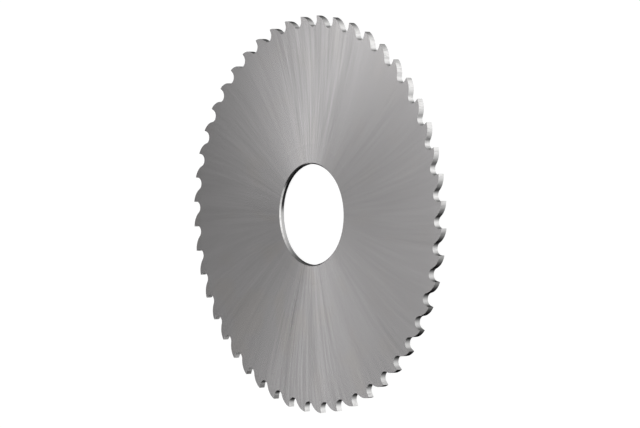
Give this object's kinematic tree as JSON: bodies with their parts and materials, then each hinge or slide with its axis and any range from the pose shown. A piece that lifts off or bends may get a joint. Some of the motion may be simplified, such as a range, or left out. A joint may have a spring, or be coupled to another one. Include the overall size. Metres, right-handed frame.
{
  "type": "slitting saw",
  "caption": "Thin round metal slitting saw with coarse hooked teeth, hollow-ground sides and a plain chamfered bore for a milling arbor.",
  "frame": {"origin": "on the bore axis, level with the underside of the toothed rim", "axes": "+Z along the bore axis, out of the upper side, from which the teeth point counter-clockwise; one tooth tip lies on +Y"},
  "size_m": [0.063, 0.063, 0.001],
  "materials": {
    "ground_steel": "fine radial surface grinding, satin, bright tooth flanks"
  },
  "bodies": {
    "root": {"saw_blade": "ground_steel"}
  },
  "joints": []
}
